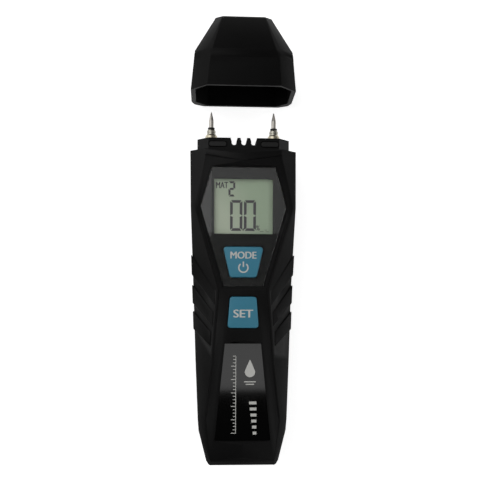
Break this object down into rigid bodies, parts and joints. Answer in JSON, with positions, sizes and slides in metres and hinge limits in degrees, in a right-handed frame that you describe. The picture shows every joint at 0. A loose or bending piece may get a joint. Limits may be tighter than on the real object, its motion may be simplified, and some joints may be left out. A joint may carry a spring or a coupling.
{
  "type": "moisture meter",
  "caption": "Hand-held pin moisture meter with two needles, a display, two push buttons, a sliding battery door and a pull-off pin cap.",
  "frame": {"origin": "middle of the outline on the surface that the meter's back lies on, with the cap pulled off", "axes": "+X across the meter, +Y from the bottom end towards the needles and the cap, +Z out of the display"},
  "size_m": [0.0482, 0.2036, 0.0282],
  "materials": {
    "housing_plastic": "fine satin texture",
    "cap_plastic": "fine satin texture",
    "carrier_plastic": "plain moulded",
    "lens_clear": "polished clear window",
    "mask_print": "black print",
    "lcd_glass": "reflective grey-green display",
    "white_plastic": "plain moulded",
    "contact_rubber": "striped conductive rubber",
    "button_blue": "satin",
    "pad_rubber": "translucent silicone",
    "pad_rubber_black": "matt",
    "plate_gloss": "glossy printed plate",
    "needle_steel": "ground",
    "collar_metal": "nickel plated",
    "base_brass": "plated brass",
    "spring_metal": "plated spring metal",
    "bright_metal": "zinc plated",
    "board_green": "solder mask",
    "black_component": "moulded",
    "cell_jacket": "printed sleeve"
  },
  "bodies": {
    "housing": {"front_housing": "housing_plastic", "rear_housing": "housing_plastic", "display_lens": "lens_clear", "lens_mask": "mask_print", "lcd_glass": "lcd_glass", "lcd_frame": "white_plastic", "upper_contact_strip": "contact_rubber", "lower_contact_strip": "contact_rubber", "mode_return_pad": "pad_rubber", "set_return_pad": "pad_rubber", "mode_switch": "black_component", "set_switch": "black_component", "name_plate": "plate_gloss", "pin_carrier": "carrier_plastic", "left_needle": "needle_steel", "right_needle": "needle_steel", "left_collar": "collar_metal", "right_collar": "collar_metal", "left_pin_base": "base_brass", "right_pin_base": "base_brass", "left_pin_ring": "pad_rubber_black", "right_pin_ring": "pad_rubber_black", "left_pin_strap": "spring_metal", "right_pin_strap": "spring_metal", "main_board": "board_green", "controller_chip": "black_component", "signal_amplifier": "black_component", "crystal": "bright_metal", "beeper": "black_component", "temperature_sensor": "black_component", "chip_resistors": "black_component", "left_cell": "cell_jacket", "right_cell": "cell_jacket", "left_cell_spring": "spring_metal", "right_cell_spring": "spring_metal", "upper_cell_plate": "spring_metal", "left_cell_plate": "spring_metal", "right_cell_plate": "spring_metal", "housing_screws": "bright_metal", "board_screws": "bright_metal"},
    "cap": {"cap": "cap_plastic"},
    "mode_button": {"mode_button": "button_blue"},
    "set_button": {"set_button": "button_blue"},
    "battery_door": {"battery_door": "housing_plastic"}
  },
  "joints": [
    {"name": "cap_slide", "type": "slide", "parent": "housing", "child": "cap", "axis": [0, 1, 0], "range_m": [-0.0278, 0]},
    {"name": "mode_button_press", "type": "slide", "parent": "housing", "child": "mode_button", "axis": [0, 0, -1], "range_m": [0, 0.0008], "stiffness_N_per_m": 1500, "deforming": ["mode_return_pad"]},
    {"name": "set_button_press", "type": "slide", "parent": "housing", "child": "set_button", "axis": [0, 0, -1], "range_m": [0, 0.0008], "stiffness_N_per_m": 1500, "deforming": ["set_return_pad"]},
    {"name": "battery_door_slide", "type": "slide", "parent": "housing", "child": "battery_door", "axis": [0, -1, 0], "range_m": [0, 0.062]}
  ]
}
